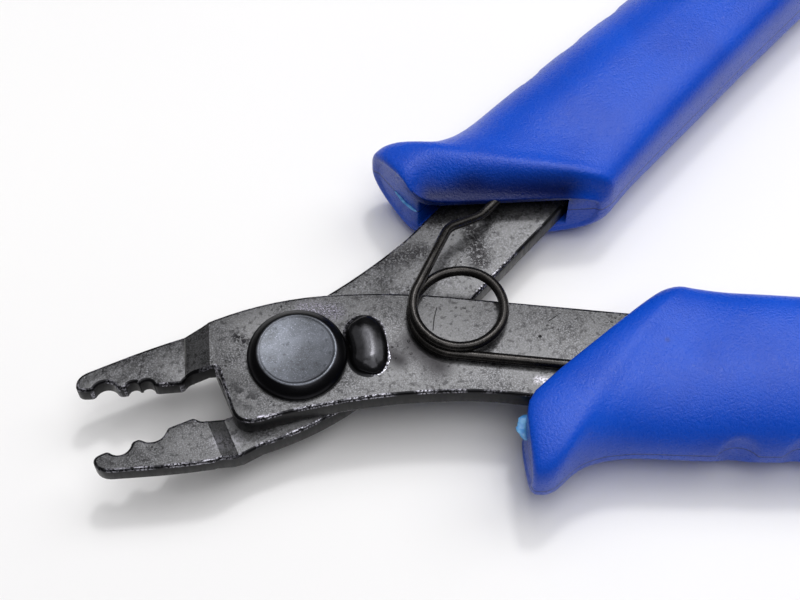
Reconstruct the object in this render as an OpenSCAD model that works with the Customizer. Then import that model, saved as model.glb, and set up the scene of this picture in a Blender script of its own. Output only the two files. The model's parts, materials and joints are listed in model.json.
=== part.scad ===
// Two-station crimping plier with a wire return spring and moulded grips.
// Units are millimetres. +X runs from the jaws to the handles along the
// handles' centreline, +Y is across, and +Z is up. The tool lies flat and is
// held open by its spring. The origin is the centre of the base rectangle.

/* [Pose] */
// Angle each lever stands open from the closed jaws, degrees
open_half = 9.5; // [6:0.1:9.5]

/* [Levers] */
// Thickness of the stamped steel levers
plate_t = 2.4; // [2.2:0.05:2.6]
// Thickness of the jaws after they are set over to the middle plane
jaw_t = 2.1; // [1.8:0.05:2.3]
// Gap between the two lever plates where they cross
plate_gap = 0.06; // [0.04:0.01:0.12]
// Width of each arm
arm_w = 10.1; // [9.6:0.1:10.4]
// Angle of each arm from the handles' centreline with the jaws closed, degrees
arm_splay = 18; // [17.5:0.1:19]
// Sideways offset of the arm's middle from the pivot, towards the other arm
arm_offset = 3.15; // [3:0.05:3.3]

/* [Jaws] */
// Angle between the line where the jaws meet and the handles' centreline, degrees
jaw_cant = 7; // [6:0.5:8]
// Distance of the meeting line from the pivot, measured across the tool
jaw_drop = 1.3; // [1.2:0.05:1.5]
// Distance along the meeting line from the pivot to the jaw tips
jaw_reach = 21.6; // [21:0.1:22.5]
// Distance from the pivot to the front crimping station
front_station = 18.8; // [18.6:0.1:19]
// Distance from the pivot to the rear crimping station
rear_station = 15.45; // [15.2:0.05:15.6]
// Depth of the crimping stations
station_depth = 0.82; // [0.6:0.02:0.95]

/* [Pivot] */
// Radius of the rivet shank
shank_r = 3.0; // [2.6:0.05:3.2]
// Radial running clearance of the levers on the shank
pivot_clear = 0.05; // [0.02:0.01:0.1]
// Radius of the rivet head at its foot
head_r = 4.85; // [4.6:0.05:5]
// Radius of the flat on top of the rivet head
head_flat_r = 3.75; // [3.4:0.05:4]
// Height of the rivet head
head_h = 1.4; // [1:0.05:1.8]
// Distance of the stop pocket from the pivot
stop_r = 6.85; // [6.75:0.05:6.9]

/* [Spring] */
// Diameter of the spring wire
wire_d = 1.0; // [0.8:0.05:1.02]
// Mean radius of the spring coil
coil_r = 4.45; // [4.2:0.05:4.7]

/* [Grips] */
// Half the thickness of the grip bodies
grip_half_t = 5.7; // [5.3:0.05:6]
// Half the height of the rectangular socket in the front of each grip
socket_half_h = 2.5; // [2.48:0.01:2.6]
// Radius of the finger notches along the outer side of each grip
notch_r = 2.6; // [2.3:0.1:3]
// Spacing of the finger notches
notch_pitch = 6.3; // [6:0.1:6.5]

/* [Hidden] */
$fn = 64;
half_gap = plate_gap / 2;
plate_top = half_gap + plate_t;
jaw_low = -jaw_t / 2 + 0.05;
jaw_high = jaw_t / 2 + 0.05;
rest_splay = arm_splay + open_half;
arm_out = arm_w / 2 - arm_offset;
arm_in = -arm_w / 2 - arm_offset;
rear_trim = 0.4;
tang_end = 74;
fit_gap = 0.04;
tip_x = -21.33;
heel_x = 108.61;
centre_x = (tip_x + heel_x) / 2;
centre_y = -0.23;
base_z = grip_half_t + 0.006;

steel = [0.20, 0.20, 0.21];
rivet_steel = [0.27, 0.28, 0.31];
spring_steel = [0.10, 0.10, 0.11];
grip_blue = [0.06, 0.24, 0.78];

// Points on a curve from a to c that is pulled towards b.
function bow(a, b, c, n = 6) =
    [for (i = [0:n]) let (t = i / n)
        a * (1 - t) * (1 - t) + b * 2 * t * (1 - t) + c * t * t];

// A point along the arm: s from the pivot, w outwards from the pivot line.
function on_arm(s, w) =
    [s * cos(arm_splay) - w * sin(arm_splay),
     -s * sin(arm_splay) - w * cos(arm_splay)];

// Radius of a round notch from half its width and its depth.
function notch_radius(half_w, depth) =
    (half_w * half_w + depth * depth) / (2 * depth);

// ---------------------------------------------------------------- placing

// Carries children to the line where the jaws meet: x along it to the tips,
// y into the front lever's jaw.
module at_front_jaw() {
    translate([0, -jaw_drop, 0])
        rotate([0, 0, -jaw_cant])
            mirror([1, 0, 0])
                children();
}

// The same for the rear lever's jaw, on the other side of the meeting line.
module at_rear_jaw() {
    translate([0, -jaw_drop, 0])
        rotate([0, 0, -jaw_cant])
            mirror([1, 0, 0])
                mirror([0, 1, 0])
                    children();
}

// Shifts the whole tool so that its base rectangle is centred on the origin.
module in_place() {
    translate([-centre_x, -centre_y, base_z])
        children();
}

// ----------------------------------------------------------------- levers

// Outline of the hub plate, the arm and the tang that the grip hides. The
// inner side of the arm and the hub's far side are set in by trim.
module plate_outline(trim = 0) {
    arm_in = arm_in + trim;
    polygon(concat(
        [[-7.2, 2.6], [-7.7, 0.5], [-7.1, -4.2]],
        bow([-7.1, -4.2], [-6.85, -6.05], [-4.7, -5.95]),
        bow([-4.7, -5.95], [-2, -5.6], [2, -5.65], 4),
        bow([2, -5.65], [9, -5.65], [16.2, -7.3], 8),
        bow([16.2, -7.3], [18.6, -7.95], on_arm(24, arm_out), 4),
        [on_arm(44, arm_out), on_arm(tang_end - 3, arm_out - 4.7),
         on_arm(tang_end, arm_out - 5.6), on_arm(tang_end, arm_in - 0.3),
         on_arm(tang_end - 3, arm_in - 1), on_arm(44, arm_in)],
        bow(on_arm(17, arm_in), [10.5, 5.45 - trim], [3.4, 6.25 - trim], 8),
        bow([3.4, 6.25 - trim], [-2.6, 6.95 - trim], [-8.7, 5.4 - trim], 8)
    ));
}

// Outline of one jaw blade, before its crimping stations are cut.
module jaw_outline(trim = 0) {
    polygon(concat(
        [[5.5, 0.85]],
        bow([10.3, 0.8], [11, 0.75], [11.4, 0], 4),
        bow([jaw_reach - 1, 0], [jaw_reach + 0.1, -0.02], [jaw_reach, 0.85], 5),
        bow([jaw_reach, 0.85], [jaw_reach - 0.1, 1.8], [jaw_reach - 1.4, 2.2], 5),
        bow([jaw_reach - 1.4, 2.2], [15.2, 4.05], [11.4, 5.05], 5),
        [[9.4, 5.62 - trim], [5.5, 5.2 - trim]]
    ));
}

// Round station cut into both jaws near their tips.
module front_station_cut() {
    r = notch_radius(1.16, station_depth);
    translate([front_station, station_depth - r])
        circle(r = r);
}

// Rear station of the rear jaw: one wide round seat.
module wide_station_cut() {
    r = notch_radius(1.36, station_depth);
    translate([rear_station, station_depth - r])
        circle(r = r);
}

// Rear station of the front jaw: two small seats that leave a tooth between.
module toothed_station_cut() {
    translate([rear_station - 0.62, -0.1])
        circle(r = 0.74);
    translate([rear_station + 0.64, -0.1])
        circle(r = 0.68);
}

// Side view of a lever: flat plate, ramp, and the jaw set to the middle plane.
module set_over_profile() {
    rotate([90, 0, 0])
        linear_extrude(height = 120, center = true)
            polygon([
                [-120, half_gap], [8.8, half_gap], [10.4, jaw_low],
                [40, jaw_low], [40, jaw_high], [11.1, jaw_high],
                [8.55, plate_top], [-120, plate_top]
            ]);
}

// Raised rib of the half-sheared stop, a crowned bean beside the pivot.
module stop_blister() {
    crown = 0.95;
    half_w = 1.78;
    r = notch_radius(half_w, crown);
    hull()
        for (end = [-1, 1])
            rotate([0, 0, -2 + end * 11.5])
                translate([stop_r, 0, plate_top - 0.3])
                    intersection() {
                        translate([0, 0, crown + 0.3 - r])
                            sphere(r = r, $fn = 40);
                        cylinder(r = 3, h = 3, $fn = 40);
                    }
}

// Pocket under the rib in which the other lever's stop peg travels.
module stop_pocket() {
    reach = 19.1;
    rotate([0, 0, -2 - reach])
        rotate_extrude(angle = 2 * reach)
            translate([stop_r - 1.2, half_gap - 1])
                square([2.4, 2.4]);
}

// Bore that runs on the rivet's shank.
module pivot_bore() {
    translate([0, 0, -5])
        cylinder(r = shank_r + pivot_clear, h = 10);
}

module front_jaw_lever() {
    color(steel)
        in_place()
            rotate([0, 0, -open_half])
                difference() {
                    union() {
                        intersection() {
                            translate([0, 0, -3])
                                linear_extrude(height = 8)
                                    difference() {
                                        union() {
                                            plate_outline();
                                            at_front_jaw()
                                                jaw_outline();
                                        }
                                        at_front_jaw() {
                                            front_station_cut();
                                            toothed_station_cut();
                                        }
                                    }
                            at_front_jaw()
                                set_over_profile();
                        }
                        stop_blister();
                    }
                    pivot_bore();
                    stop_pocket();
                }
}

module rear_jaw_lever() {
    peg_at = -2 - 9.5;
    color(steel)
        in_place()
            rotate([0, 0, open_half])
                difference() {
                    union() {
                        intersection() {
                            translate([0, 0, -5])
                                linear_extrude(height = 8)
                                    difference() {
                                        union() {
                                            mirror([0, 1, 0])
                                                plate_outline(rear_trim);
                                            at_rear_jaw()
                                                jaw_outline(rear_trim);
                                        }
                                        at_rear_jaw() {
                                            front_station_cut();
                                            wide_station_cut();
                                        }
                                    }
                            mirror([0, 0, 1])
                                at_rear_jaw()
                                    set_over_profile();
                        }
                        rotate([0, 0, peg_at])
                            translate([stop_r, 0, -half_gap - 1])
                                cylinder(r = 1.1, h = 2.2);
                    }
                    pivot_bore();
                    rotate([0, 0, peg_at])
                        translate([stop_r, 0, -plate_top - 1])
                            cylinder(r = 1.1, h = 2);
                }
}

// ------------------------------------------------------------------ pivot

module pivot_rivet() {
    foot = plate_top + 0.04;
    color(rivet_steel)
        in_place()
            rotate_extrude()
                polygon(concat(
                    [[0, -foot - head_h + 0.3], [head_flat_r, -foot - head_h + 0.3]],
                    bow([head_flat_r, -foot - head_h + 0.3],
                        [head_r - 0.1, -foot - head_h + 0.5],
                        [head_r, -foot - 0.25], 4),
                    [[head_r, -foot], [shank_r, -foot], [shank_r, foot],
                     [head_r, foot]],
                    bow([head_r, foot + 0.3], [head_r - 0.15, foot + head_h - 0.35],
                        [head_flat_r + 0.12, foot + head_h], 4),
                    [[head_flat_r - 0.1, foot + head_h],
                     [head_flat_r - 0.25, foot + head_h - 0.06],
                     [0, foot + head_h - 0.06]]
                ));
}

// ----------------------------------------------------------------- spring

coil_x = 16.2;
coil_y = -1.2;
coil_start = 133;
coil_end = 602.5;
z_low = plate_top + wire_d / 2 + 0.05;
z_high = z_low + 1.06;

// Eases from 0 to 1 as t goes from 0 to 1.
function ease(t) = let (u = max(0, min(1, t))) u * u * (3 - 2 * u);

// Middle of the wire at coil angle a: the top turn winds down to the lower one.
function coil_point(a) =
    let (k = ease((a - 380) / 130))
    [coil_x - 0.25 * k + coil_r * cos(a),
     coil_y - 0.35 * k + coil_r * sin(a),
     z_high - (z_high - z_low) * min(1, (a - coil_start) / 350)];

// Corner rounded over a distance d before and after b.
function turn(a, b, c, d = 0.7) =
    let (p = b + (a - b) * d / norm(a - b), q = b + (c - b) * d / norm(c - b))
    bow(p, b, q, 3);

upper_leg = [
    coil_point(coil_start),
    [15.8, 4.65, 3.95],
    [18.85, 7.78, 3.3],
    [22.75, 8.6, 2.05],
    [36.4, 15.75, 1.2]
];
lower_dir = [cos(-rest_splay), sin(-rest_splay), 0];
leg_w = -coil_point(coil_end)[0] * sin(rest_splay) - coil_point(coil_end)[1] * cos(rest_splay);
wire_path = concat(
    [upper_leg[4]],
    turn(upper_leg[4], upper_leg[3], upper_leg[2], 0.6),
    turn(upper_leg[3], upper_leg[2], upper_leg[1], 0.55),
    [upper_leg[1]],
    [for (a = [coil_start:11.45:coil_end + 0.1]) coil_point(a)],
    [for (d = [3, 8, 16, 26]) coil_point(coil_end) + lower_dir * d]
);

// Closed tube of n sides along a path, with its sections square to the path.
module tube(path, r, n = 10) {
    last = len(path) - 1;
    dirs = [for (i = [0:last])
        let (v = path[min(last, i + 1)] - path[max(0, i - 1)]) v / norm(v)];
    sides = [for (d = dirs) let (s = [d[1], -d[0], 0]) s / norm(s)];
    pts = [for (i = [0:last]) for (k = [0:n - 1])
        path[i] + r * cos(360 * k / n) * sides[i]
            + r * sin(360 * k / n) * cross(sides[i], dirs[i])];
    polyhedron(
        points = pts,
        faces = concat(
            [[for (k = [0:n - 1]) k]],
            [for (i = [0:last - 1]) for (k = [0:n - 1])
                let (m = (k + 1) % n)
                [i * n + k, (i + 1) * n + k, (i + 1) * n + m]],
            [for (i = [0:last - 1]) for (k = [0:n - 1])
                let (m = (k + 1) % n)
                [i * n + k, (i + 1) * n + m, i * n + m]],
            [[for (k = [n - 1:-1:0]) last * n + k]]
        )
    );
}

module return_spring() {
    color(spring_steel)
        in_place()
            tube(wire_path, wire_d / 2);
}

// ------------------------------------------------------------------ grips

// Grip sections from the front face to the heel. Each row is: inner edge s and
// w, outer edge s and w, how far the knee of the section stands forward, half
// the thickness as a share of the body's, and how square the upper outer
// shoulder is.
sections = [
    [33.8, -10.5, 22.4, 9.3, -5.4, 0.56, 3.6],
    [34.0, -11.0, 22.3, 10.1, -5.1, 0.73, 3.6],
    [34.7, -11.3, 22.9, 10.5, -4.0, 0.86, 3.4],
    [35.7, -11.4, 24.4, 10.0, -1.7, 0.93, 3.0],
    [37.2, -11.3, 27.0, 7.3, -0.6, 0.89, 2.6],
    [40.0, -11.2, 31.0, 5.9, 0, 0.87, 2.1],
    [44.5, -11.2, 38.0, 5.3, 0, 0.94, 1.9],
    [52.0, -11.3, 48.0, 4.4, 0, 0.99, 1.9],
    [64.0, -11.5, 62.0, 3.0, 0, 1.00, 1.9],
    [78.0, -12.2, 78.0, 0.6, 0, 0.97, 1.9],
    [94.0, -14.6, 96.0, -3.2, 0, 0.93, 2.0],
    [105.0, -17.4, 108.5, -7.6, 0, 0.86, 2.1],
    [110.6, -18.2, 113.4, -10.9, 0, 0.68, 2.2],
    [112.6, -17.0, 114.2, -13.0, 0, 0.40, 2.3]
];
section_steps = 3;
section_sides = 28;

// Smooth curve through the rows, at row i and fraction t towards the next.
function row(i) = sections[max(0, min(len(sections) - 1, i))];
function between(i, t) =
    let (a = row(i - 1), b = row(i), c = row(i + 1), d = row(i + 2))
    b + 0.5 * t * ((c - a) + t * (2 * a - 5 * b + 4 * c - d
        + t * (3 * b - a - 3 * c + d)));

// Rounded share of a half width. The inner shoulders are squarer than the
// outer ones, and the upper inner one is the squarest.
function swell(x, n) = sign(x) * pow(abs(x), 2 / n);
function squareness(a, top) =
    cos(a) > 0 ? (sin(a) > 0 ? top : 2.3) : (sin(a) > 0 ? 4.6 : 3.2);

// Rises to a rounded peak two thirds of the way across a section.
function knee(u) =
    let (a = u / 0.66, b = (1 - u) / 0.34)
    a * b / pow(pow(a, 6) + pow(b, 6), 1 / 6);

// One closed ring of points for a section row.
function ring(q) =
    let (inner = [q[0], q[1]], outer = [q[2], q[3]])
    [for (k = [0:section_sides - 1])
        let (a = 360 * k / section_sides, n = squareness(a, q[6]),
             u = (1 + swell(cos(a), n)) / 2,
             p = inner + (outer - inner) * u + [q[4] * knee(u), 0])
        [p[0], p[1], grip_half_t * q[5] * swell(sin(a), n)]];

// Solid grip in arm coordinates: x along the arm, y outwards.
module grip_body() {
    n = section_sides;
    rows = concat(
        [for (i = [0:len(sections) - 2]) for (t = [0:section_steps - 1])
            between(i, t / section_steps)],
        [row(len(sections) - 1)]);
    last = len(rows) - 1;
    pts = [for (q = rows) for (p = ring(q)) p];
    polyhedron(
        points = pts,
        faces = concat(
            [for (i = [0:last - 1]) for (k = [0:n - 1])
                let (m = (k + 1) % n)
                [i * n + k, (i + 1) * n + k, (i + 1) * n + m]],
            [for (i = [0:last - 1]) for (k = [0:n - 1])
                let (m = (k + 1) % n)
                [i * n + k, (i + 1) * n + m, i * n + m]],
            [for (k = [0:n / 2 - 2]) [n - k - 1, k, k + 1]],
            [for (k = [1:n / 2 - 1]) [n - k - 1, n - k, k]],
            [for (k = [0:n / 2 - 2]) [for (j = [k + 1, k, n - k - 1]) last * n + j]],
            [for (k = [1:n / 2 - 1]) [for (j = [k, n - k, n - k - 1]) last * n + j]]
        )
    );
}

// Grip with its front socket, the slot for the tang and the finger notches.
// The tang lies above the middle plane when up is true, and the spring's lower
// leg then runs in a channel over it. The front lever's grip sits further back.
module grip(up) {
    set_back = up ? 1 : 0;
    difference() {
        translate([set_back, 0, 0])
            grip_body();
        translate([15, arm_in - 0.15, -socket_half_h])
            cube([29, arm_w + 1.25, 2 * socket_half_h]);
        translate([0, 0, up ? half_gap - fit_gap : -plate_top - fit_gap])
            linear_extrude(height = plate_t + 2 * fit_gap)
                polygon([
                    [40, arm_in - fit_gap], [44, arm_in - fit_gap],
                    [tang_end + 0.3, arm_in - 1.3], [tang_end + 0.3, arm_out - 5],
                    [44, arm_out + fit_gap], [40, arm_out + fit_gap]
                ]);
        if (up)
            translate([15, leg_w - 0.65, 0])
                cube([29, 1.3, z_low + wire_d / 2 + 0.1]);
        for (k = [0:6])
            let (s = set_back + 41.6 + notch_pitch * k,
                 w = 4.98 - 0.085 * notch_pitch * k - 0.0011 * pow(notch_pitch * k, 2))
                translate([s, w + notch_r - 0.6, -8])
                    cylinder(r = notch_r, h = 16);
    }
}

module front_lever_grip() {
    color(grip_blue)
        in_place()
            rotate([0, 0, -rest_splay])
                mirror([0, 1, 0])
                    grip(true);
}

module rear_lever_grip() {
    color(grip_blue)
        in_place()
            rotate([0, 0, rest_splay])
                grip(false);
}

// ------------------------------------------------------------------ nodes

front_jaw_lever();
rear_jaw_lever();
pivot_rivet();
return_spring();
front_lever_grip();
rear_lever_grip();
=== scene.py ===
"""Looks of a small two-station crimping plier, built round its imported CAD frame.

The tool lies on a pale table, held open by its wire spring. Lengths inside the
classes are millimetres in the tool's own axes: x from the pivot towards the
handles, y across towards the rear lever's grip, z up from the middle plane.
"""

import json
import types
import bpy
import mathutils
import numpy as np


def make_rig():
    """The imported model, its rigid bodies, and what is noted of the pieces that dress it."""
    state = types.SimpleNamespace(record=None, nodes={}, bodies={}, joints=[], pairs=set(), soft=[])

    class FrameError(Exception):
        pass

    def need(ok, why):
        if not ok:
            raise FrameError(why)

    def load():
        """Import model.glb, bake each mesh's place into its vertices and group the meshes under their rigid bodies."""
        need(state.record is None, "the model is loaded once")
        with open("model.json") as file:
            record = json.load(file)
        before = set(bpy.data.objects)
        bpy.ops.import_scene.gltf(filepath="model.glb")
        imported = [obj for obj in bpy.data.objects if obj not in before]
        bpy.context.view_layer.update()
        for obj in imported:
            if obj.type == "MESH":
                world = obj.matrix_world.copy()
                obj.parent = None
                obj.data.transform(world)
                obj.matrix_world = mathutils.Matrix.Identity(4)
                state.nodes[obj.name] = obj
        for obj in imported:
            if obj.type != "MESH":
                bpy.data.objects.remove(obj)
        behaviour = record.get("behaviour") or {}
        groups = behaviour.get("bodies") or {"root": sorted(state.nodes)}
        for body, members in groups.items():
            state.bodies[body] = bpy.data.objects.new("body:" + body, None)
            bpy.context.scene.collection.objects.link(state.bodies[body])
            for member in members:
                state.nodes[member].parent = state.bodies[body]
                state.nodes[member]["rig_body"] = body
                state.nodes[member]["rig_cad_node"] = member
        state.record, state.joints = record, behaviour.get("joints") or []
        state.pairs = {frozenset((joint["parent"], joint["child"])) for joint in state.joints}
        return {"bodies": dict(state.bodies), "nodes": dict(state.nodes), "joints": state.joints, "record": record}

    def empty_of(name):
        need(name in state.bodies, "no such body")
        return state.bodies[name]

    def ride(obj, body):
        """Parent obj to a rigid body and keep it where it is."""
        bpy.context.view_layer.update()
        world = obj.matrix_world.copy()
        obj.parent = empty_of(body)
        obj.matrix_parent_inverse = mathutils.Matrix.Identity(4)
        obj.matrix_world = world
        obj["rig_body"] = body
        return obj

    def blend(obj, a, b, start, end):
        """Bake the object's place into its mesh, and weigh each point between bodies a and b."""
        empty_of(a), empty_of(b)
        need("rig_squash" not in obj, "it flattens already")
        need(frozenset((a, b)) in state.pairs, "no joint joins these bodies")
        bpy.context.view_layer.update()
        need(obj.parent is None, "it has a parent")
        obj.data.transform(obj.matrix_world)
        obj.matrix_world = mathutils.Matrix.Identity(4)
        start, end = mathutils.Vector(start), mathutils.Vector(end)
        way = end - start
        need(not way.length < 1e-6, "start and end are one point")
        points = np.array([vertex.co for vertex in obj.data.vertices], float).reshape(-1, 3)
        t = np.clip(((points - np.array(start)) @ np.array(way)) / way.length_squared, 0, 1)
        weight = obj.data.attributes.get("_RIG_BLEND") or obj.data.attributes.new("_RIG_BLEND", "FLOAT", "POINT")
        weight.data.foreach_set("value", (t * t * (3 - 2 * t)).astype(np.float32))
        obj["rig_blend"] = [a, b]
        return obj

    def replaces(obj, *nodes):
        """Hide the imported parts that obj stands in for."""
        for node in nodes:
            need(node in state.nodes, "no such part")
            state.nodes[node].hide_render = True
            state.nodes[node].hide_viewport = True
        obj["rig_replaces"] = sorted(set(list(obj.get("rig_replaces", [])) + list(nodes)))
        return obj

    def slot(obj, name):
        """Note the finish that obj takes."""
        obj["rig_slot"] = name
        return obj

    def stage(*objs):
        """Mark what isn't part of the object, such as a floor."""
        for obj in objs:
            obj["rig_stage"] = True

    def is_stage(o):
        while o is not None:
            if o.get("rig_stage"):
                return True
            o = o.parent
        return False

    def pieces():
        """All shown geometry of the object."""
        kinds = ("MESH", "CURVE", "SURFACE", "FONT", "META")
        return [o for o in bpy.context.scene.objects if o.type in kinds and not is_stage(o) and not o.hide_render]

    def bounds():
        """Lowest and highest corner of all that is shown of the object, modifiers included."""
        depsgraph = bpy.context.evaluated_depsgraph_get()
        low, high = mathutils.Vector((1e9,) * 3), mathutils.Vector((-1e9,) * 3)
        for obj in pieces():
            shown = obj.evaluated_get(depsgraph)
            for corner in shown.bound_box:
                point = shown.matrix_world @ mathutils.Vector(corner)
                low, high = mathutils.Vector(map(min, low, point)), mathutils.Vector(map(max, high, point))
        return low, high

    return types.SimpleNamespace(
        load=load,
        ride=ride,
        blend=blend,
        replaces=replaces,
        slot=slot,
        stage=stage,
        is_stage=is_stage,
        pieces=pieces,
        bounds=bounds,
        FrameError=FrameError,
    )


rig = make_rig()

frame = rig.load()
cad_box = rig.bounds()

import json
import logging
import math
from dataclasses import dataclass
from enum import Enum, IntEnum
from typing import Sequence

import bmesh
import bpy
from mathutils import Vector

MM = 0.001
LOG = logging.getLogger("crimping_plier")
SIZE_FILE = "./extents.json"
REST_SPLAY = math.radians(27.5)  # angle of each open lever's arm from x
PLATE_TOP = 2.43  # height of the upper plate's face over the middle plane, mm
WELD_GAP = 2e-6  # corners of the CAD mesh closer than this are one, m
FLAT_ANGLE = 1.0  # faces that differ by less lie in one flat, degrees
BLACKED_METAL = 0.9  # how metallic steel under its oxide looks
VINYL_IOR = 1.53

Point = tuple[float, float, float]
Row = tuple[float, ...]
Piece = bpy.types.Object
Material = bpy.types.Material
Tree = bpy.types.NodeTree
Node = bpy.types.Node
Socket = bpy.types.NodeSocket


class Body(str, Enum):
    """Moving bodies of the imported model."""

    PIVOT = "pivot"
    FRONT = "front_lever"
    REAR = "rear_lever"


class Side(Enum):
    """Which lever a piece belongs to; the value is the sign of y at its handle."""

    FRONT = -1
    REAR = 1

    @property
    def body(self) -> Body:
        """The body that the side's pieces move with."""
        return Body.FRONT if self is Side.FRONT else Body.REAR


class SteelSlot(IntEnum):
    """Material slots of a lever's plate."""

    FLATS = 0
    EDGES = 1
    SIDES = 2


# ---- placing ----


@dataclass(frozen=True)
class ToolAxes:
    """The tool's own axes in the row frame.

    Args:
        pivot: Where the pivot axis meets the middle plane, in metres.
    """

    pivot: Vector

    def place(self, point: Sequence[float]) -> Vector:
        """Turns a point in tool millimetres into row metres.

        Args:
            point: The point in tool millimetres.

        Returns:
            The point in row metres.
        """
        return self.pivot + Vector(point) * MM

    def on_arm(self, side: Side, along: float, out: float, up: float) -> Vector:
        """Places a point given along and out from a lever's arm.

        Args:
            side: The lever.
            along: Distance from the pivot along the arm, mm.
            out: Distance outwards from the pivot line, mm.
            up: Height over the middle plane, mm.

        Returns:
            The point in row metres.
        """
        c, s = math.cos(REST_SPLAY), math.sin(REST_SPLAY)
        return self.place((along * c - out * s, side.value * (along * s + out * c), up))


# ---- modelling ----


def deselect_all() -> None:
    """Leaves nothing selected and no object active, in object mode."""
    if bpy.context.object and bpy.context.object.mode != "OBJECT":
        bpy.ops.object.mode_set(mode="OBJECT")
    for item in bpy.context.view_layer.objects:
        item.select_set(False)


def activate(piece: Piece) -> None:
    """Makes one piece the only selected and the active object."""
    deselect_all()
    piece.select_set(True)
    bpy.context.view_layer.objects.active = piece


def smooth(piece: Piece, degrees: float) -> None:
    """Shades a piece smooth except over edges sharper than an angle."""
    activate(piece)
    bpy.ops.object.shade_smooth_by_angle(angle=math.radians(degrees))


def drawn_through(name: str, rings: Sequence[Sequence[Vector]]) -> Piece:
    """Models a closed skin: a circle is laid on the first ring and extruded on.

    Args:
        name: The new piece's name.
        rings: Rings of row points, all with the same number of points.

    Returns:
        The piece, closed at both ends, with its normals outwards.
    """
    deselect_all()
    bpy.ops.mesh.primitive_circle_add(vertices=len(rings[0]), radius=MM, fill_type="NOTHING")
    piece = bpy.context.object
    piece.name = piece.data.name = name
    bpy.ops.object.mode_set(mode="EDIT")
    skin = bmesh.from_edit_mesh(piece.data)
    skin.verts.ensure_lookup_table()
    for vertex, point in zip(skin.verts, rings[0]):
        vertex.co = point
        vertex.select = True
    skin.select_flush(True)
    bmesh.update_edit_mesh(piece.data)
    bpy.ops.mesh.edge_face_add()
    for ring in rings[1:]:
        skin = bmesh.from_edit_mesh(piece.data)
        held = sorted((v for v in skin.verts if v.select), key=lambda v: v.index)
        order = {tuple(vertex.co): place for place, vertex in enumerate(held)}
        bpy.ops.mesh.extrude_region_move(TRANSFORM_OT_translate={"value": (0, 0, 0)})
        skin = bmesh.from_edit_mesh(piece.data)
        for vertex in (v for v in skin.verts if v.select):
            vertex.co = ring[order[tuple(vertex.co)]]
        bmesh.update_edit_mesh(piece.data)
    bpy.ops.mesh.select_all(action="SELECT")
    bpy.ops.mesh.normals_make_consistent(inside=False)
    bpy.ops.object.mode_set(mode="OBJECT")
    return piece


def copied_node(node: str, name: str) -> Piece:
    """Copies a CAD node as a new piece and joins its loose triangles.

    Args:
        node: The CAD node.
        name: The new piece's name.

    Returns:
        The merged copy, with flat areas joined into single faces.
    """
    mesh = frame["nodes"][node].data.copy()
    mesh.materials.clear()
    piece = bpy.data.objects.new(name, mesh)
    mesh.name = name
    bpy.context.scene.collection.objects.link(piece)
    activate(piece)
    bpy.ops.object.mode_set(mode="EDIT")
    bpy.ops.mesh.select_all(action="SELECT")
    bpy.ops.mesh.customdata_custom_splitnormals_clear()
    bpy.ops.mesh.remove_doubles(threshold=WELD_GAP)
    bpy.ops.mesh.dissolve_limited(angle_limit=math.radians(FLAT_ANGLE))
    bpy.ops.object.mode_set(mode="OBJECT")
    return piece


def ellipse_share(angle: float, squareness: float) -> tuple[float, float]:
    """Cosine and sine of an angle drawn out to a squarer rounded outline."""
    c, s = math.cos(angle), math.sin(angle)
    power = 2 / squareness
    return math.copysign(abs(c) ** power, c), math.copysign(abs(s) ** power, s)


def round_turn(count: int) -> list[float]:
    """Angles of even steps round a turn."""
    return [2 * math.pi * k / count for k in range(count)]


def eased(share: float) -> float:
    """Holds a share between 0 and 1 and eases both its ends."""
    t = max(0.0, min(1.0, share))
    return t * t * (3 - 2 * t)


def curve(a: Point, b: Point, c: Point, steps: int) -> list[Vector]:
    """Points on a curve from a to c that is pulled towards b."""
    va, vb, vc = Vector(a), Vector(b), Vector(c)
    spots = [i / steps for i in range(steps + 1)]
    return [va * (1 - t) ** 2 + vb * 2 * t * (1 - t) + vc * t * t for t in spots]


# ---- finishes ----


def linear(hex_colour: str) -> tuple[float, float, float, float]:
    """Turns an sRGB hex colour such as #1a2b3c into linear RGBA."""
    parts = [int(hex_colour[i : i + 2], 16) / 255 for i in (1, 3, 5)]
    return (*(p / 12.92 if p <= 0.04045 else ((p + 0.055) / 1.055) ** 2.4 for p in parts), 1.0)


def per_mm(size: float) -> float:
    """Texture scale whose features are about a size in mm."""
    return 1 / (size * MM)


def feed(tree: Tree, node: Node, feeds: dict) -> None:
    """Feeds a node's inputs, by name or number, with sockets or plain values."""
    for key, value in feeds.items():
        if isinstance(value, Socket):
            tree.links.new(value, node.inputs[key])
        else:
            node.inputs[key].default_value = value


def add_node(tree: Tree, kind: str, feeds: dict | None = None, **settings: object) -> Node:
    """Adds a node, sets its properties and feeds its sockets.

    Args:
        tree: The node tree.
        kind: The node's type name, without its prefix.
        feeds: Values or output sockets by input name or number.
        settings: Properties of the node by name.

    Returns:
        The new node.
    """
    node = tree.nodes.new(f"ShaderNode{kind}")
    for name, value in settings.items():
        setattr(node, name, value)
    feed(tree, node, feeds or {})
    return node


def ramp(tree: Tree, fac: Socket, stops: Sequence[tuple[float, str]]) -> Socket:
    """Colours a value by stops of position and sRGB hex.

    Args:
        tree: The node tree.
        fac: The value.
        stops: Position and colour of each stop, in order.

    Returns:
        The colour socket.
    """
    node = add_node(tree, "ValToRGB", {"Fac": fac})
    elements = node.color_ramp.elements
    while len(elements) < len(stops):
        elements.new(0.5)
    for element, (position, colour) in zip(elements, stops):
        element.position = position
        element.color = linear(colour)
    return node.outputs["Color"]


def between(tree: Tree, value: Socket, low: float, high: float,
            start: float = 0.0, end: float = 1.0) -> Socket:
    """Maps a value from low to high, in either order, smoothly onto start to end."""
    feeds = {"Value": value, "From Min": low, "From Max": high, "To Min": start, "To Max": end}
    node = add_node(tree, "MapRange", feeds, interpolation_type="SMOOTHSTEP")
    return node.outputs["Result"]


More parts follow.
